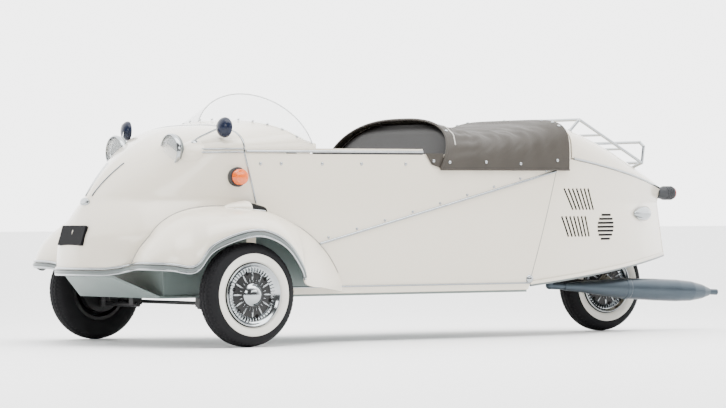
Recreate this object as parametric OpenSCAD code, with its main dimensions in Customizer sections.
// Three wheeled tandem roadster: two steered wheels in front, one driven wheel behind.
// X points forwards, Y to the car's left, Z up. Lengths are in millimetres.
// Every module is drawn from the front axle (X = 0) on the ground and moved by place().

/* [Overall] */
// Distance between the front and the rear axle
wheelbase = 2027; // [1900:1:2200]
// Distance between the middles of the two front tyres
front_track = 1080; // [1060:1:1200]
// From the front axle forwards to the nose
nose_reach = 430; // [380:1:500]
// From the rear axle back to the tail's rear face
tail_reach = 330; // [290:1:360]
// From the rear axle back to the end of the exhaust
exhaust_reach = 480; // [440:1:560]
// Width over the front wings
body_width = 1220; // [1180:1:1340]

/* [Tub] */
// Half of the tub's greatest width
tub_half = 398; // [370:1:420]
// Height of the sill's lower edge
sill_z = 181; // [150:1:200]
// Height of the cockpit edge
rail_z = 697; // [660:1:740]
// Thickness of the body panels
skin = 6; // [4:0.5:8]
// Gap between two fixed panels
panel_gap = 0.8; // [0.5:0.1:2]
// Gap between a moving panel and a fixed one
door_gap = 5.5; // [5:0.5:8]

/* [Wheels] */
// Outer radius of the tyres
tyre_r = 188; // [176:1:198]
// Width of the tyres
tyre_w = 100; // [86:1:108]
// Radius of the rim where the tyre sits
rim_r = 114; // [104:1:118]
// Radius of the wheel spindles
spindle_r = 10; // [8:0.5:13]
// Radial running clearance of the spindles
spindle_clearance = 0.05; // [0.02:0.01:0.1]

/* [Cockpit] */
// From the front axle back to the joint between nose and cockpit
cowl_back = 86; // [70:1:110]
// Height of the cowl above the cockpit edge, at the nose joint
cowl_rise = 109; // [90:1:125]
// Height of the windscreen above the cockpit edge
screen_rise = 230; // [190:1:250]
// Thickness of the windscreen
screen_t = 4; // [3:0.5:6]
// From the front axle back to the rear corners of the windscreen
screen_back = 386; // [360:1:420]
// From the front axle back to the rear ends of the cockpit rails
rail_back = 880; // [860:1:888]

/* [Lamps] */
// Radius of the headlamp rims
headlamp_r = 64; // [56:1:70]
// From the centre line out to each headlamp
headlamp_y = 197; // [185:1:215]

/* [Exhaust] */
// Largest radius of the silencer
silencer_r = 44; // [36:1:48]
// Radius of the tail pipe's end
tail_pipe_r = 12; // [10:0.5:16]
// From the centre line out to the silencer
silencer_y = 152; // [146:1:160]

/* [Rack] */
// Radius of the luggage rack's tube
rack_tube_r = 6; // [5:0.5:8]

/* [Hidden] */

cream = [0.91, 0.89, 0.84];
shade_grey = [0.45, 0.50, 0.48];
dark_metal = [0.22, 0.23, 0.25];
bright = [0.80, 0.81, 0.83];
blue_steel = [0.40, 0.46, 0.52];
rubber_black = [0.06, 0.06, 0.07];
cloth_grey = [0.20, 0.19, 0.18];

back_x = -wheelbase;
shift_x = (wheelbase + exhaust_reach - nose_reach) / 2;
wheel_y = front_track / 2;
wing_half = body_width / 2;
cowl_x = -cowl_back;
seam_x = back_x + 639;
seam_lean = 0.29;
seam_foot_z = 223;
tail_x = back_x - tail_reach;
nose_low_z = 290;
cowl_top_z = rail_z + cowl_rise;
arch_r = tyre_r + 40;
lid_x = seam_x - 202;
deck_front_z = 830;

module place() { translate([shift_x, 0, 0]) children(); }
module both_sides() { children(); mirror([0, 1, 0]) children(); }

// Smooth curve through hand-set points; t runs from 0 to 1 along the whole list
function span(a, b, c, d, t) = 0.5 * (2 * b + (c - a) * t + (2 * a - 5 * b + 4 * c - d) * t * t
    + (3 * b - a - 3 * c + d) * t * t * t);
function curve(points, t) = let (last = len(points) - 1, s = min(t * last, last - 0.00001),
    i = floor(s)) span(points[max(i - 1, 0)], points[i], points[i + 1], points[min(i + 2, last)], s - i);
function unit(v) = v / max(norm(v), 0.000001);
function above(v) = max(v, 0);

// A wall of even thickness on one side of a grid of points: rows of equal length
function grid_normal(g, i, j) = let (r = len(g) - 1, c = len(g[0]) - 1)
    unit(cross(g[min(i + 1, r)][j] - g[max(i - 1, 0)][j], g[i][min(j + 1, c)] - g[i][max(j - 1, 0)]));
function shifted(g, depth) = [for (i = [0:len(g) - 1]) [for (j = [0:len(g[0]) - 1])
    g[i][j] + depth * grid_normal(g, i, j)]];
module wall(outer, inner) {
    r = len(outer);
    c = len(outer[0]);
    half = r * c;
    points = concat([for (row = outer) each row], [for (row = inner) each row]);
    skins = [for (i = [0:r - 2], j = [0:c - 2]) let (a = i * c + j, b = a + 1, d = a + c, e = d + 1)
        each [[a, b, e], [a, e, d], [half + a, half + e, half + b], [half + a, half + d, half + e]]];
    row_ends = [for (j = [0:c - 2]) let (a = j, b = j + 1, d = (r - 1) * c + j, e = d + 1)
        each [[a, half + b, b], [a, half + a, half + b], [d, e, half + e], [d, half + e, half + d]]];
    column_ends = [for (i = [0:r - 2]) let (a = i * c, b = a + c, d = a + c - 1, e = d + c)
        each [[a, b, half + b], [a, half + b, half + a], [d, half + e, e], [d, half + d, half + e]]];
    polyhedron(points, concat(skins, row_ends, column_ends), convexity = 6);
}
module shell(g, depth) {
    if (depth > 0) wall(shifted(g, depth), g);
    else wall(g, shifted(g, depth));
}

// Tub: how far the side stands out at height z
function side_y(z) = tub_half - 6 * pow((z - 500) / 200, 2);
rail_y = side_y(rail_z);
// The nose joint leans back below the cockpit edge
function joint_x(z) = cowl_x - 0.25 * above(rail_z - z);
// Half width of the body section at the nose joint
function cowl_half(z) = z <= rail_z ? side_y(z)
    : rail_y * pow(above(1 - pow((z - rail_z) / cowl_rise, 2.8)), 1 / 2.8);
// Reach of the nose on the centre line at height z
function nose_x(z) = cowl_x + (nose_reach + cowl_back)
    * pow(above(1 - pow(above(z - nose_low_z) / (cowl_top_z - nose_low_z), 1.78)), 1 / 1.78);
// How full the nose is seen from above at height z
function nose_power(z) = z < 400 ? 2.1 : max(1.45, 2.1 - (z - 400) / 200);
// Half width of the nose at x and height z
function nose_y(x, z) = cowl_half(z) * pow(above(1 - pow(above(x - joint_x(z))
    / max(nose_x(z) - joint_x(z), 1), nose_power(z))), 1 / nose_power(z));
function body_y(x, z) = x > joint_x(z) ? nose_y(x, z) : side_y(z);

// Joint between wing and body, seen from the side: front foot, crown, rear foot
wing_crown_z = 506;
wing_front_x = nose_reach - 118;
wing_rear_x = -518;
wing_joint = [[wing_front_x, 280], [wing_front_x - 22, 340], [wing_front_x - 50, 385],
    [wing_front_x - 97, 440], [150, 481], [80, 501], [0, wing_crown_z], [-110, 497], [-235, 463],
    [-350, 410], [-440, 335], [-500, 250], [wing_rear_x, 200]];
// Lower edge of the wing: front, over the wheel, rear
wing_edge_y = wing_half - 6;
wing_edge = [[wing_front_x + 6, 262, 284], [wing_front_x + 20, 340, 290],
    [wing_front_x + 14, wing_edge_y - 184, 290], [wing_front_x - 32, wing_edge_y - 112, 287],
    [212, wing_edge_y - 62, 280], [150, wing_edge_y - 38, 171 + arch_r * 0.82],
    [0, wing_edge_y, tyre_r - 8 + arch_r], [-125, wing_edge_y - 1, 180 + arch_r * 0.83],
    [-205, wing_edge_y - 10, 278], [-230, wing_edge_y - 19, 222],
    [-330, wing_edge_y - 69, 208], [-430, 465, 197], [wing_rear_x + 4, side_y(190) + 5, 190]];
wing_table = [for (i = [0:36]) curve(wing_joint, 1 - i / 36)];
function wing_joint_z(x) = lookup(x, wing_table);

module color_cream() { color(cream) children(); }

// Front shell between the wings, ahead of the cockpit
nose_rows = 16;
nose_columns = 28;
bumper_z = 268;
function nose_low(x) = x > wing_front_x ? bumper_z + 12 * above(1 - (x - wing_front_x) / 60)
    : wing_joint_z(x) + panel_gap;
function nose_point(z, a) = let (p = 2 / nose_power(z), x = joint_x(z) + (nose_x(z) - joint_x(z))
    * pow(cos(a), p)) [x, sign(a) * cowl_half(z) * pow(abs(sin(a)), p), z];
function nose_foot(a) = let (z1 = nose_low(nose_point(400, a)[0]), z2 = nose_low(nose_point(z1, a)[0]))
    nose_low(nose_point((z1 + z2) / 2, a)[0]);
nose_last_z = cowl_top_z - 1;
nose_grid = [for (i = [0:nose_rows + 1]) [for (j = [0:nose_columns])
    let (a = -90 + 180 * j / nose_columns, foot = nose_foot(a), t = min(i / nose_rows, 1),
        z = foot + (nose_last_z - foot) * (1 - pow(1 - t, 1.6)))
        i <= nose_rows ? nose_point(z, a)
        : [joint_x(cowl_top_z), cowl_half(nose_last_z) * sin(a), cowl_top_z]]];
module nose_panel() {
    color_cream() place() shell(nose_grid, skin);
}

// Front wing over a steered wheel
wing_steps = 30;
wing_columns = 12;
function wing_point(t, a) = let (j = curve(wing_joint, t), e = curve(wing_edge, t),
    y0 = body_y(j[0], j[1]) + panel_gap)
    [j[0] + (e[0] - j[0]) * sin(a), y0 + (e[1] - y0) * sin(a), e[2] + (j[1] - e[2]) * cos(a)];
wing_grid = [for (i = [0:wing_steps]) [for (k = [0:wing_columns])
    wing_point(i / wing_steps, 90 * k / wing_columns)]];
wing_inner = [for (row = shifted(wing_grid, skin)) [for (p = row)
    [p[0], max(p[1], body_y(p[0], p[2]) + 0.5), p[2]]]];
module fender() { wall(wing_inner, wing_grid); }
module fender_left() { color_cream() place() fender(); }
module fender_right() { color_cream() place() mirror([0, 1, 0]) fender(); }

// Tub sides, split along a rising line into an upper and a lower panel
split_front_x = -409;
split_front_z = 365;
split_slope = 0.246;
function split_z(x) = split_front_z + split_slope * (split_front_x - x);
function seam_at(z) = seam_x - seam_lean * (z - seam_foot_z);
panel_rows = 8;
panel_steps = 12;
module side_wall(low_front, high_front, low_back, high_back) {
    outer = [for (i = [0:panel_rows]) [for (j = [0:panel_steps])
        let (v = i / panel_rows, u = j / panel_steps,
            front = low_front + (high_front - low_front) * v,
            back = low_back + (high_back - low_back) * v,
            p = front + (back - front) * u) [p[0], side_y(p[1]), p[1]]]];
    inner = [for (row = outer) [for (p = row) p - [0, skin, 0]]];
    wall(inner, outer);
}
module side_upper() {
    gap = panel_gap / 2;
    top_back_x = seam_at(rail_z) + gap;
    low_x = joint_x(split_z(cowl_x - 90)) - 2.6 * panel_gap;
    side_wall([low_x, split_z(low_x) + gap], [joint_x(rail_z) - 2.6 * panel_gap, rail_z],
        [seam_at(split_z(seam_at(640))) + gap, split_z(seam_at(640)) + gap], [top_back_x, rail_z]);
}
module side_lower() {
    gap = panel_gap / 2;
    front_x = -128;
    back_high_x = seam_at(split_z(seam_at(640))) + gap;
    side_wall([front_x, sill_z], [front_x - 10, split_z(front_x - 10) - gap],
        [seam_at(sill_z) + gap, sill_z], [back_high_x, split_z(back_high_x) - gap]);
}
module side_upper_left() { color_cream() place() side_upper(); }
module side_upper_right() { color_cream() place() mirror([0, 1, 0]) side_upper(); }
module side_lower_left() { color_cream() place() side_lower(); }
module side_lower_right() { color_cream() place() mirror([0, 1, 0]) side_lower(); }

// Floor under the cabin, with the sloping tray below the nose
floor_t = 8;
floor_half = side_y(sill_z) - skin - 0.3;
tray_half = 286;
tray_front_x = 210;
module floor_tray() {
    color(shade_grey) place() {
        translate([0, 0, sill_z - floor_t]) linear_extrude(floor_t) polygon([[seam_at(sill_z), floor_half],
            [-300, floor_half], [-190, tray_half], [tray_front_x, tray_half], [tray_front_x, -tray_half],
            [-190, -tray_half], [-300, -floor_half], [seam_at(sill_z), -floor_half]]);
        hull() {
            translate([tray_front_x - 1, -tray_half, sill_z - floor_t]) cube([1, 2 * tray_half, floor_t]);
            translate([nose_reach - 92, -170, bumper_z - 20]) cube([1, 340, floor_t]);
        }
        for (s = [-1, 1]) translate([seam_at(sill_z) + 17, s * (floor_half - 14) - 12, sill_z])
            cube([1020, 24, 22]);
    }
}

// Boxed footwell between the front wheels
footwell_half = tray_half - 8;
footwell_front_x = 190;
footwell_z = 470;
module footwell() {
    color(cream) place() {
        for (s = [-1, 1]) translate([-300, s * (footwell_half - skin / 2) - skin / 2, sill_z + 0.3])
            cube([footwell_front_x + 300, skin, footwell_z - sill_z - 30 - 120]);
        translate([footwell_front_x - skin, -footwell_half, sill_z + 0.3])
            cube([skin, 2 * footwell_half, footwell_z - sill_z - 150]);
    }
}

// Slanting wall behind the rear seat
bulkhead_low_z = sill_z + 2;
bulkhead_high_z = 790;
bulkhead_half = rail_y - skin - 12;
// Outline of an arch with straight sides and a rounded crown
function arch(half, low, high, power) = [for (a = [-90:7.5:90]) [half * sign(a)
    * pow(abs(sin(a)), 2 / power), high - (high - low) * (1 - pow(cos(a), 2 / power))]];
module rear_bulkhead() {
    tall = (bulkhead_high_z - bulkhead_low_z) / cos(atan(seam_lean));
    color(cream) place() translate([seam_at(bulkhead_low_z) + 14, 0, bulkhead_low_z])
        rotate([0, -atan(seam_lean), 0]) rotate([90, 0, -90]) linear_extrude(skin)
        polygon(concat([[bulkhead_half, 0]], arch(-bulkhead_half, tall - 150, tall, 4),
            [[-bulkhead_half, 0]]));
}

// Tail: plan view and edges. s runs from 0 at the seam to 1 at the rear face
tail_power = 1.739;
function rear_face_x(z) = tail_x + 0.16 * (min(z, 515) - 297) - 0.4 * above(z - 515);
function tail_low_z(x) = 200 + 0.11 * (seam_x - x);
function deck_edge_z(x) = 686 - 0.154 * (seam_x - 166 - x);
function tail_y(x, z) = let (front = seam_at(z)) side_y(z)
    * above(1 - pow(above(front - x) / (front - rear_face_x(z)), tail_power));
tail_rows = 9;
tail_columns = 44;
function tail_station(s, z) = seam_at(z) - panel_gap / 2 + (rear_face_x(z) - seam_at(z) + panel_gap / 2) * s;
function tail_point(a, v) = let (s = pow(abs(cos(a)), 1.15), low = tail_low_z(tail_station(s, 250)),
    high0 = deck_edge_z(tail_station(s, 640)), high = deck_edge_z(tail_station(s, high0)) - panel_gap / 2,
    z = low + (high - low) * v, x = tail_station(s, z))
    [x, sign(a) * side_y(z) * (1 - pow(s, tail_power)), z];
tail_grid = [for (i = [0:tail_rows]) [for (j = [0:tail_columns])
    tail_point(-90 + 180 * j / tail_columns, i / tail_rows)]];
module tail_shell() {
    color_cream() place() shell(tail_grid, -skin);
}

// Deck section shared by the hoop behind the seats and the engine lid
function deck_crest_z(x) = deck_front_z - 240 * pow(above(seam_x - 183 - x) / 729, 1.15);
function deck_power(x) = max(2.2, 4 - above(seam_x - 183 - x) / 300);
function deck_point(x, a, lift) = let (low = deck_edge_z(x) + lift, p = 2 / deck_power(x))
    [x, sign(a) * tail_y(x, deck_edge_z(x)) * pow(abs(sin(a)), p),
        low + (deck_crest_z(x) - low) * pow(abs(cos(a)), p)];
lid_rows = 20;
lid_columns = 30;
lid_end_x = tail_x + 28;
lid_grid = [for (i = [0:lid_rows]) [for (j = [0:lid_columns])
    deck_point(lid_x + (lid_end_x - lid_x) * i / lid_rows, -90 + 180 * j / lid_columns, door_gap)]];
// Two hinges on top of the gap between hoop and lid
lid_hinge_y = 90;
lid_hinge_r = 4.5;
lid_pin_r = 2.5;
lid_knuckle = 28;
lid_hinge_z = deck_crest_z(lid_x) + lid_hinge_r + 0.6;
module at_lid_hinges() {
    both_sides() translate([lid_x + door_gap / 2 + 1, lid_hinge_y, lid_hinge_z]) children();
}
module engine_lid() {
    color_cream() place() {
        shell(lid_grid, skin);
        at_lid_hinges() difference() {
            union() {
                rotate([90, 0, 0]) cylinder(h = lid_knuckle, r = lid_hinge_r, center = true, $fn = 32);
                translate([-20, -lid_knuckle / 2, -lid_hinge_r - 2.6]) cube([19, lid_knuckle, 4.6]);
            }
            rotate([90, 0, 0]) cylinder(h = lid_knuckle + 2, r = lid_pin_r + spindle_clearance,
                center = true, $fn = 32);
        }
    }
}
cover_back_x = seam_x - 178;
hoop_front_x = cover_back_x - 0.3;
hoop_grid = [for (i = [0:3]) [for (j = [0:lid_columns])
    deck_point(hoop_front_x + (lid_x + door_gap + 2 - hoop_front_x) * i / 3, -90 + 180 * j / lid_columns,
        panel_gap / 2)]];
module rear_hoop() {
    color_cream() place() {
        shell(hoop_grid, skin);
        at_lid_hinges() {
            rotate([90, 0, 0]) cylinder(h = lid_knuckle + 32, r = lid_pin_r, center = true, $fn = 32);
            for (s = [-1, 1]) translate([0, s * (lid_knuckle / 2 + 8.5), 0]) {
                rotate([90, 0, 0]) cylinder(h = 15, r = lid_hinge_r, center = true, $fn = 32);
                translate([1, -7.5, -lid_hinge_r - 2]) cube([20, 15, 4.6]);
            }
        }
    }
}

// Tube along a straight line between two points, with round ends
module tube(a, b, r) {
    d = b - a;
    translate(a) rotate([0, acos(d[2] / norm(d)), atan2(d[1], d[0])]) cylinder(h = norm(d), r = r, $fn = 32);
}
module tube_path(points, r) {
    for (i = [0:len(points) - 2]) tube(points[i], points[i + 1], r);
    for (i = [1:len(points) - 2]) translate(points[i]) sphere(r + 0.4, $fn = 32);
}

// Chrome luggage rack that stands on the engine lid
rack_front = [seam_x - 338, 250, 833];
rack_bend = [seam_x - 356, 236, 839];
rack_back = [seam_x - 726, 164, 672];
rack_loop = [seam_x - 740, 158, 738];
rack_end = rack_loop + [8, -14, 16];
rack_foot_z = 0.3;
function on_deck(x, y) = let (w = tail_y(x, deck_edge_z(x)), n = deck_power(x),
    low = deck_edge_z(x) + door_gap)
    low + (deck_crest_z(x) - low) * pow(above(1 - pow(abs(y) / w, n)), 1 / n);
module luggage_rack() {
    foot_x = seam_x - 300;
    foot_y = 246;
    back_foot_x = rack_back[0] + 14;
    back_foot_y = 122;
    color(bright) place() difference() {
        union() {
            both_sides() {
                tube_path([[foot_x, foot_y, on_deck(foot_x, foot_y) + rack_foot_z + 2], rack_front, rack_bend,
                    rack_back], rack_tube_r);
                tube_path([[back_foot_x, back_foot_y, on_deck(back_foot_x, back_foot_y) + rack_foot_z + 2],
                    rack_back, rack_loop, rack_end], rack_tube_r);
                translate([foot_x, foot_y, on_deck(foot_x, foot_y) + rack_foot_z + 2]) sphere(9, $fn = 32);
            }
            tube(rack_bend, [rack_bend[0], -rack_bend[1], rack_bend[2]], rack_tube_r);
            both_sides() translate(rack_end) sphere(rack_tube_r + 0.6, $fn = 32);
            tube(rack_end, [rack_end[0], -rack_end[1], rack_end[2]], rack_tube_r);
            tube(rack_back, [rack_back[0], -rack_back[1], rack_back[2]], rack_tube_r);
            for (x = [rack_bend[0] - 130,
                rack_bend[0] - 250]) let (t = (x - rack_bend[0]) / (rack_back[0] - rack_bend[0]),
                p = rack_bend + (rack_back - rack_bend) * t) tube(p, [p[0], -p[1], p[2]], rack_tube_r - 1);
        }
        shell(shifted(lid_grid, -rack_foot_z), skin + 14);
    }
}

// Hinged cockpit frame: cowl top, windscreen and side rails
rail_low_z = rail_z + door_gap;
function cowl_crest_z(x) = cowl_top_z + 0.16 * (cowl_x - x);
function cowl_point(x, a) = let (low = rail_low_z, p = 2 / 2.8) [x, sign(a) * rail_y * pow(abs(sin(a)), p),
    low + (cowl_crest_z(x) - low) * pow(abs(cos(a)), p)];
screen_front_x = -186;
function screen_foot_x(y) = -screen_back + (screen_front_x + screen_back)
    * pow(above(1 - pow(min(abs(y) / (rail_y - 2), 1), 2.6)), 1 / 2.6);
cowl_rows = 7;
cowl_columns = 30;
cowl_grid = [for (i = [0:cowl_rows]) [for (j = [0:cowl_columns])
    let (a = -90 + 180 * j / cowl_columns, front = cowl_x - door_gap,
        y = cowl_point(front, a)[1], back = screen_foot_x(y) - 14)
        cowl_point(front + (back - front) * i / cowl_rows, a)]];
rail_w = 20;
rail_h = 14;
module cockpit_frame() {
    color_cream() place() {
        shell(cowl_grid, skin);
        both_sides() translate([-rail_back, rail_y - rail_w, rail_low_z])
            cube([rail_back - screen_back - 4, rail_w, rail_h]);
        for (x = hinge_xs) translate([x - hinge_len / 2, -hinge_y, hinge_z])
            moving_knuckle();
    }
}
hinge_y = rail_y + 11;
hinge_z = rail_z + 2;
hinge_len = 50;
hinge_xs = [-470, -790];
hinge_r = 7;
hinge_pin_r = 3;
module moving_knuckle() {
    difference() {
        union() {
            rotate([0, 90, 0]) cylinder(h = hinge_len, r = hinge_r, $fn = 32);
            translate([0, 2, door_gap - 1.6]) cube([hinge_len, 14, 3]);
        }
        translate([-1, 0, 0]) rotate([0, 90, 0]) cylinder(h = hinge_len + 2, r = hinge_pin_r + 0.05,
            $fn = 32);
    }
}
module frame_hinges() {
    color(bright) place() for (x = hinge_xs) translate([x, -hinge_y, hinge_z]) {
        translate([-hinge_len / 2 - 24, 0, 0]) rotate([0, 90, 0])
            cylinder(h = hinge_len + 48, r = hinge_pin_r, $fn = 32);
        for (s = [-1, 1]) translate([s * (hinge_len / 2 + 13) - 12, 0, 0]) {
            rotate([0, 90, 0]) cylinder(h = 24, r = hinge_r, $fn = 32);
            translate([0, -hinge_r, -40]) cube([24, 5, 40]);
            translate([0, -hinge_r, -40]) cube([24, hinge_y + hinge_r - side_y(hinge_z - 38) - 0.3, 4]);
        }
    }
}
screen_lift = 0.8;
function screen_base(a) = let (y = rail_y * 0.998 * sin(a), x = screen_foot_x(y), n = 2.8, low = rail_low_z,
    tall = cowl_crest_z(x) - low, up = pow(above(1 - pow(abs(y) / rail_y, n)), 1 / n),
    out = unit([0, sign(y) * pow(abs(y) / rail_y, n - 1) / rail_y, pow(up, n - 1) / tall]))
    [x, y, low + tall * up] + screen_lift * out;
function screen_top(a) = [-screen_back + 80 * cos(a), (rail_y + screen_lift) * sin(a), rail_low_z + 22
    + (screen_rise - 28) * pow(cos(a), 0.95)];
screen_rows = 6;
screen_columns = 32;
screen_grid = [for (i = [0:screen_rows]) [for (j = [0:screen_columns])
    let (a = -88 + 176 * j / screen_columns, v = i / screen_rows, b = screen_base(a), t = screen_top(a))
        b + (t - b) * v]];
module windscreen() {
    color([0.85, 0.9, 0.92, 0.35]) place() shell(screen_grid, -screen_t);
}

// Instrument bar across the tub, with the bracket that holds the steering column
column_foot = [-120, 0, 232];
column_head = [-480, 0, 652];
column_r = 13;
column_lean = atan2(column_head[0] - column_foot[0], column_head[2] - column_foot[2]);
dash_low_z = 628;
dash_x = -318;
dash_half = side_y(dash_low_z + 61) - skin - 0.3;
bush_s = 0.58;
bush = column_foot + (column_head - column_foot) * bush_s;
module along_column(s) {
    translate(column_foot + (column_head - column_foot) * s) rotate([0, column_lean, 0]) children();
}
module dashboard() {
    color(dark_metal) place() difference() {
        union() {
            translate([dash_x - 22, -dash_half, dash_low_z]) cube([22, 2 * dash_half, 60]);
            translate([dash_x - 22, -9, bush[2]]) cube([22, 18, dash_low_z - bush[2] + 2]);
            along_column(bush_s) cylinder(h = 40, r = column_r + 8, center = true, $fn = 48);
        }
        along_column(bush_s) cylinder(h = 120, r = column_r + spindle_clearance, center = true, $fn = 48);
    }
}
grip_y = 180;
module steering_bar() {
    color(dark_metal) place() {
        along_column(0) cylinder(h = norm(column_head - column_foot), r = column_r, $fn = 48);
        along_column(1) {
            translate([0, 0, -6]) cylinder(h = 26, r = 34, $fn = 48);
            tube([0, -grip_y, 6], [0, grip_y, 6], 11);
            both_sides() tube([-12, grip_y, 6], [96, grip_y, 6], 15);
        }
    }
}

// Seats: driver in front, passenger behind, each on a pressed steel box
seat_half = 205;
front_seat_x = -985;
seat_floor_z = sill_z + 0.3;
seat_low_z = 290;
cushion_h = 95;
module seat_frames() {
    color(dark_metal) place() for (x = [front_seat_x + 30, rear_seat_x + 20]) difference() {
        translate([x, -seat_half + 25, seat_floor_z]) cube([310, 2 * seat_half - 50,
            seat_low_z - seat_floor_z - 0.3]);
        translate([x - 1, -seat_half + 31, seat_floor_z - 1])
            cube([304, 2 * seat_half - 62, seat_low_z - seat_floor_z - 6]);
    }
}
rear_seat_x = seam_x + 45;
module front_seat() {
    color(rubber_black) place() translate([front_seat_x, -seat_half, seat_low_z])
        cube([380, 2 * seat_half, cushion_h]);
}
module rear_seat() {
    color(rubber_black) place() translate([rear_seat_x, -seat_half, seat_low_z])
        cube([330, 2 * seat_half, cushion_h]);
}
cover_front_x = -955;
cover_low_z = 640;
backrest_t = 62;
backrest_lean = 27;
backrest_half = side_y(cover_low_z) - skin - 0.6;
module front_backrest() {
    low_z = seat_low_z + cushion_h + 44;
    slope = cos(backrest_lean);
    color(rubber_black) place() translate([cover_front_x - 9, 0, cover_low_z]) rotate([0, -backrest_lean, 0])
        rotate([90, 0, -90]) linear_extrude(backrest_t)
        polygon(concat([[seat_half + 30, (low_z - cover_low_z) / slope], [backrest_half, -60]],
            arch(-backrest_half, 0, 184 / slope, 2.6),
            [[-backrest_half, -60], [-seat_half - 30, (low_z - cover_low_z) / slope]]));
}
module rear_backrest() {
    color(rubber_black) place() translate([seam_at(bulkhead_low_z) + 14, 0, bulkhead_low_z])
        rotate([0, -atan(seam_lean), 0]) translate([0.3, -seat_half - 20, 220]) cube([75,
            2 * seat_half + 40, 370]);
}

// Cloth cover from the driver's backrest to the hoop behind the passenger
cover_rows = 14;
cover_columns = 36;
cover_t = 4;
cover_crest = [[836, 0], [806, 0], [794, 0], [798, 0], [812, 0], [838, 0]];
function cover_point(v, a) = let (power = 2.6 + 2.6 * v, p = 2 / power, crest = curve(cover_crest, v)[0],
    z = cover_low_z + (crest - cover_low_z) * pow(abs(cos(a)), p),
        front = cover_front_x - 0.5 * (z - cover_low_z))
    [front + (cover_back_x - front) * v, sign(a) * (tub_half + 5.3) * pow(abs(sin(a)), p), z];
cover_grid = [for (i = [0:cover_rows]) [for (j = [0:cover_columns])
    cover_point(i / cover_rows, -90 + 180 * j / cover_columns)]];
module tonneau_cover() {
    color(cloth_grey) place() shell(cover_grid, cover_t);
}

// Engine as one plain block on the rear frame
frame_tube_z = 218;
frame_tube_r = 16;
engine_z = frame_tube_z + frame_tube_r + 0.3;
frame_tube_y = 96;
module engine_block() {
    color(dark_metal) place() translate([seam_x - 400, -112, engine_z]) {
        cube([270, 224, 175]);
        translate([60, 30, 175]) cube([150, 164, 110]);
    }
}
pivot_x = back_x + 300;
pivot_z = 232;
module rear_frame() {
    start_x = seam_at(frame_tube_z + frame_tube_r) + 7.4;
    color(dark_metal) place() {
        both_sides() tube([start_x, frame_tube_y, frame_tube_z], [pivot_x, frame_tube_y, frame_tube_z],
            frame_tube_r);
        tube([pivot_x, -frame_tube_y - 16, frame_tube_z], [pivot_x, frame_tube_y + 16, frame_tube_z],
            frame_tube_r - 1);
        tube([start_x - 50, -frame_tube_y, frame_tube_z], [start_x - 50, frame_tube_y, frame_tube_z],
            frame_tube_r - 1);
    }
}
arm_y = tyre_w / 2 + 30;
module swing_arm() {
    color(dark_metal) place() {
        both_sides() tube([back_x, arm_y, tyre_r], [pivot_x - 40, arm_y, 206], 11);
        tube([pivot_x - 36, -arm_y, 206], [pivot_x - 36, arm_y, 206], 14);
        tube([back_x, -arm_y - 14, tyre_r], [back_x, arm_y + 14, tyre_r], spindle_r);
        translate([pivot_x - 40, -20, 196]) cube([24.7, 40, 32]);
    }
}

// Exhaust: pipe under the tail and long torpedo silencer on the left of the rear wheel
exhaust_end_x = back_x - exhaust_reach;
exhaust_drop = 2.7;
exhaust_head = [back_x + 300, silencer_y, 186];
exhaust_len = (exhaust_head[0] - exhaust_end_x) / cos(exhaust_drop);
module exhaust() {
    long = exhaust_len;
    color(blue_steel) place() {
        translate(exhaust_head) rotate([0, -90 - exhaust_drop, 0]) rotate_extrude($fn = 64)
            polygon([[0, 0], [17, 0], [20, 60], [silencer_r - 3, long - 486], [silencer_r - 1, long - 482],
                [silencer_r - 1, long - 466], [silencer_r - 3, long - 462], [silencer_r, long - 330],
                [silencer_r, long - 215], [silencer_r - 4, long - 140], [silencer_r - 15, long - 80],
                [16, long - 42], [tail_pipe_r, long - 40], [tail_pipe_r, long], [0, long]]);
        tube_path([exhaust_head + [0.3, 0, 0], exhaust_head + [70, 0, 3.3],
            [exhaust_head[0] + 70, silencer_y, engine_z + 34], [exhaust_head[0] + 70, 112.3,
                engine_z + 34]], 15);
    }
}

// Front suspension arms with eyes for the kingpins
kingpin_y = wheel_y - 76;
kingpin_r = 9;
arm_low_z = tyre_r - 50;
arm_high_z = tyre_r + 48;
eye_h = 20;
module front_suspension() {
    color(dark_metal) place() both_sides() difference() {
        union() {
            tube([0, 215, arm_low_z], [0, kingpin_y - 8, arm_low_z], 9);
            tube([0, footwell_half + 0.3, arm_high_z], [0, kingpin_y - 8, arm_high_z], 9);
            translate([-20, 222, arm_low_z]) cube([40, 30, sill_z - floor_t - arm_low_z - 0.3]);
            for (z = [arm_low_z, arm_high_z]) translate([0, kingpin_y, z])
                cylinder(h = eye_h, r = 20, center = true, $fn = 48);
        }
        translate([0, kingpin_y, arm_low_z - 60])
            cylinder(h = 240, r = kingpin_r + spindle_clearance, $fn = 48);
    }
}
// Steering arm, kingpin, spindle and brake plate
arm_back = 80;
arm_plate_z = arm_low_z + 17;
lock_angle = 27;
drum_r = 82;
module knuckle() {
    translate([0, kingpin_y, arm_low_z - 14]) cylinder(h = arm_high_z - arm_low_z + 28, r = kingpin_r,
        $fn = 48);
    translate([0, kingpin_y, arm_low_z + eye_h / 2 + 0.3])
        cylinder(h = arm_high_z - arm_low_z - eye_h - 0.6, r = 19, $fn = 48);
    translate([0, kingpin_y, tyre_r]) rotate([-90, 0, 0]) cylinder(h = wheel_y + 40 - kingpin_y,
        r = spindle_r, $fn = 48);
    translate([0, kingpin_y + 21, tyre_r]) rotate([-90, 0, 0])
        cylinder(h = wheel_y - 20 - kingpin_y - 21, r = drum_r, $fn = 64);
    translate([-arm_back - 12, kingpin_y - 10, arm_plate_z]) cube([arm_back + 12, 20, 8]);
}
module knuckle_left() { color(dark_metal) place() knuckle(); }
module knuckle_right() { color(dark_metal) place() mirror([0, 1, 0]) knuckle(); }
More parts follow.
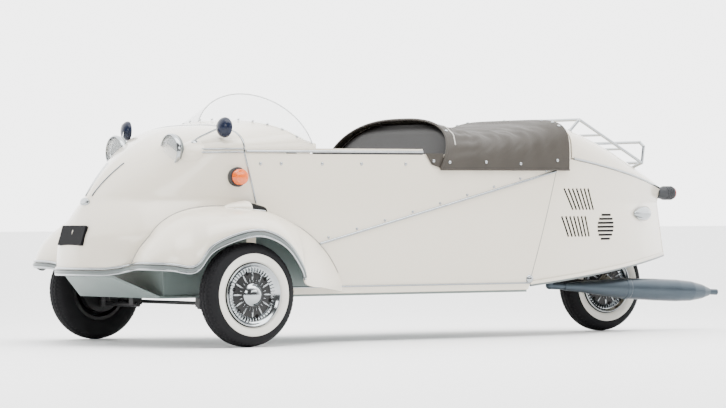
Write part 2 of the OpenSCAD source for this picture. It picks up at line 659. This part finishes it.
module track_rod() {
    color(dark_metal) place() {
        tube([-arm_back, -kingpin_y, arm_plate_z - 8], [-arm_back, kingpin_y, arm_plate_z - 8], 7);
        both_sides() translate([-arm_back, kingpin_y, arm_plate_z - 14]) cylinder(h = 13.7, r = 13, $fn = 48);
    }
}

// Wheels: pressed disc with a domed hub, and a balloon tyre
function tyre_profile() = [for (a = [-180:12:168]) let (c = cos(a), s = sin(a),
    mid = (tyre_r + rim_r) / 2 - 6)
    [mid + (tyre_r - mid) * sign(c) * pow(abs(c), 0.84), tyre_w / 2 * sign(s) * pow(abs(s), 0.84)]];
module tyre() {
    rotate([90, 0, 0]) rotate_extrude($fn = 96) intersection() {
        polygon(tyre_profile());
        translate([rim_r, -tyre_w]) square([tyre_r, 2 * tyre_w]);
    }
}
module disc_wheel(drum_side) {
    half = tyre_w / 2 - 14;
    rotate([-90, 0, 0]) rotate_extrude($fn = 96) polygon(concat(
        [[spindle_r + spindle_clearance, -18], [28, -18], [28, 20], [60, 26], [rim_r - 16, 14],
            [rim_r - 12, -half],
        [rim_r, -half], [rim_r, half], [rim_r - 6, half + 1], [rim_r - 14, half - 4], [70, half],
        [40, half + 6], [28, half + 12]], drum_side ? [[0, half + 14], [0, half + 6],
        [spindle_r + spindle_clearance, half + 6]] : [[spindle_r + spindle_clearance, half + 12]]));
}
module at_wheel(x, y) { place() translate([x, y, tyre_r]) children(); }
module tyre_front_left() { color(rubber_black) at_wheel(0, wheel_y) tyre(); }
module tyre_front_right() { color(rubber_black) at_wheel(0, -wheel_y) tyre(); }
module tyre_rear() { color(rubber_black) at_wheel(back_x, 0) tyre(); }
module wheel_front_left() { color(bright) at_wheel(0, wheel_y) disc_wheel(true); }
module wheel_front_right() { color(bright) at_wheel(0, -wheel_y) mirror([0, 1, 0]) disc_wheel(true); }
module wheel_rear() { color(bright) at_wheel(back_x, 0) disc_wheel(false); }

// Solid inside the nose surface, used to trim what stands on it
nose_core_back = [for (row = nose_grid) [for (p = row) [cowl_x - 120, p[1] * 0.97, p[2] - 2]]];
module nose_core() { wall(nose_core_back, shifted(nose_grid, -0.8)); }

// Headlamp in its pod, trimmed to the nose
headlamp_x = 112;
headlamp_z = 708;
module headlamp() {
    r = headlamp_r;
    difference() {
        translate([headlamp_x, headlamp_y, headlamp_z]) rotate([0, 90, 0]) rotate_extrude($fn = 64)
            polygon([[0, 16], [r * 0.4, 13], [r * 0.75, 5], [r - 5, 0], [r, -6], [r, -16], [r - 4, -22],
                [r - 4, -60], [r - 12, -120], [r - 30, -180], [0, -230]]);
        nose_core();
    }
}
module headlamps() { color(bright) place() both_sides() headlamp(); }

// Door mirror on a bent stalk
mirror_foot = [43, 260, 738];
mirror_head = [-28, 346, 792];
module side_mirror() {
    difference() {
        union() {
            tube_path([mirror_foot - [0, 6, 14], mirror_foot + [-6, 14, 18], mirror_head + [14, -8, -4]], 5);
            translate(mirror_foot - [0, 3, 8]) sphere(12, $fn = 32);
            translate(mirror_head) rotate([0, 90, 8]) rotate_extrude($fn = 48)
                polygon([[0, 16], [20, 12], [34, 2], [37, -6], [36, -10], [0, -8]]);
        }
        nose_core();
        translate([headlamp_x - 120, headlamp_y, headlamp_z]) rotate([0, 90, 0])
            cylinder(h = 140, r = headlamp_r - 3.6, $fn = 64);
    }
}
module side_mirrors() { color(bright) place() both_sides() side_mirror(); }

// Round amber indicators low on the cowl sides
indicator_x = -62;
indicator_z = 611;
module indicators() {
    color([0.9, 0.45, 0.1]) place() both_sides() difference() {
        translate([indicator_x, side_y(indicator_z) - 30, indicator_z]) rotate([-90, 0, 0])
            rotate_extrude($fn = 64) polygon([[0, 0], [36, 0], [36, 36], [29, 38], [28, 58], [22, 66],
                [0, 68]]);
        nose_core();
    }
}

// Tail and side marker lamps
tail_core_front = [for (row = tail_grid) [for (p = row) [seam_x + 60, p[1] * 0.4, p[2]]]];
module tail_core() { wall(shifted(tail_grid, 0.6), tail_core_front); }
tail_lamp_z = 552;
module tail_lamp() {
    color(dark_metal) place() difference() {
        translate([tail_x + 38, 0, tail_lamp_z]) rotate([0, -90, 0]) rotate_extrude($fn = 48)
            polygon([[0, 0], [14, 0], [14, 34], [28, 38], [28, 84], [22, 98], [0, 99]]);
        tail_core();
    }
}
marker_x = back_x - 82;
marker_z = 470;
module rear_lamps() {
    color(bright) place() both_sides() difference() {
        translate([marker_x, tail_y(marker_x, marker_z) + 6, marker_z]) rotate([0, 0, 31])
            rotate([0, -90, 0]) rotate_extrude($fn = 48)
            polygon([[0, -62], [14, -48], [25, -20], [30, 10], [30, 40], [24, 56], [0, 62]]);
        tail_core();
    }
}

// Blank plate on the nose
plate_w = 168;
plate_h = 74;
module number_plate() {
    low_x = nose_x(368);
    high_x = nose_x(436);
    color([0.05, 0.05, 0.06]) place() difference() {
        translate([low_x - 2, 0, 366]) rotate([0, -atan2(low_x - high_x, 68), 0])
            translate([-8, -plate_w / 2, 0]) cube([12, plate_w, plate_h]);
        nose_core();
    }
}

nose_panel();
fender_left();
fender_right();
side_upper_left();
side_upper_right();
side_lower_left();
side_lower_right();
floor_tray();
footwell();
rear_bulkhead();
tail_shell();
engine_lid();
luggage_rack();
cockpit_frame();
windscreen();
frame_hinges();
dashboard();
steering_bar();
seat_frames();
front_seat();
front_backrest();
rear_seat();
rear_backrest();
rear_hoop();
tonneau_cover();
engine_block();
rear_frame();
swing_arm();
exhaust();
front_suspension();
knuckle_left();
knuckle_right();
track_rod();
tyre_front_left();
tyre_front_right();
tyre_rear();
wheel_front_left();
wheel_front_right();
wheel_rear();
headlamps();
side_mirrors();
indicators();
tail_lamp();
rear_lamps();
number_plate();
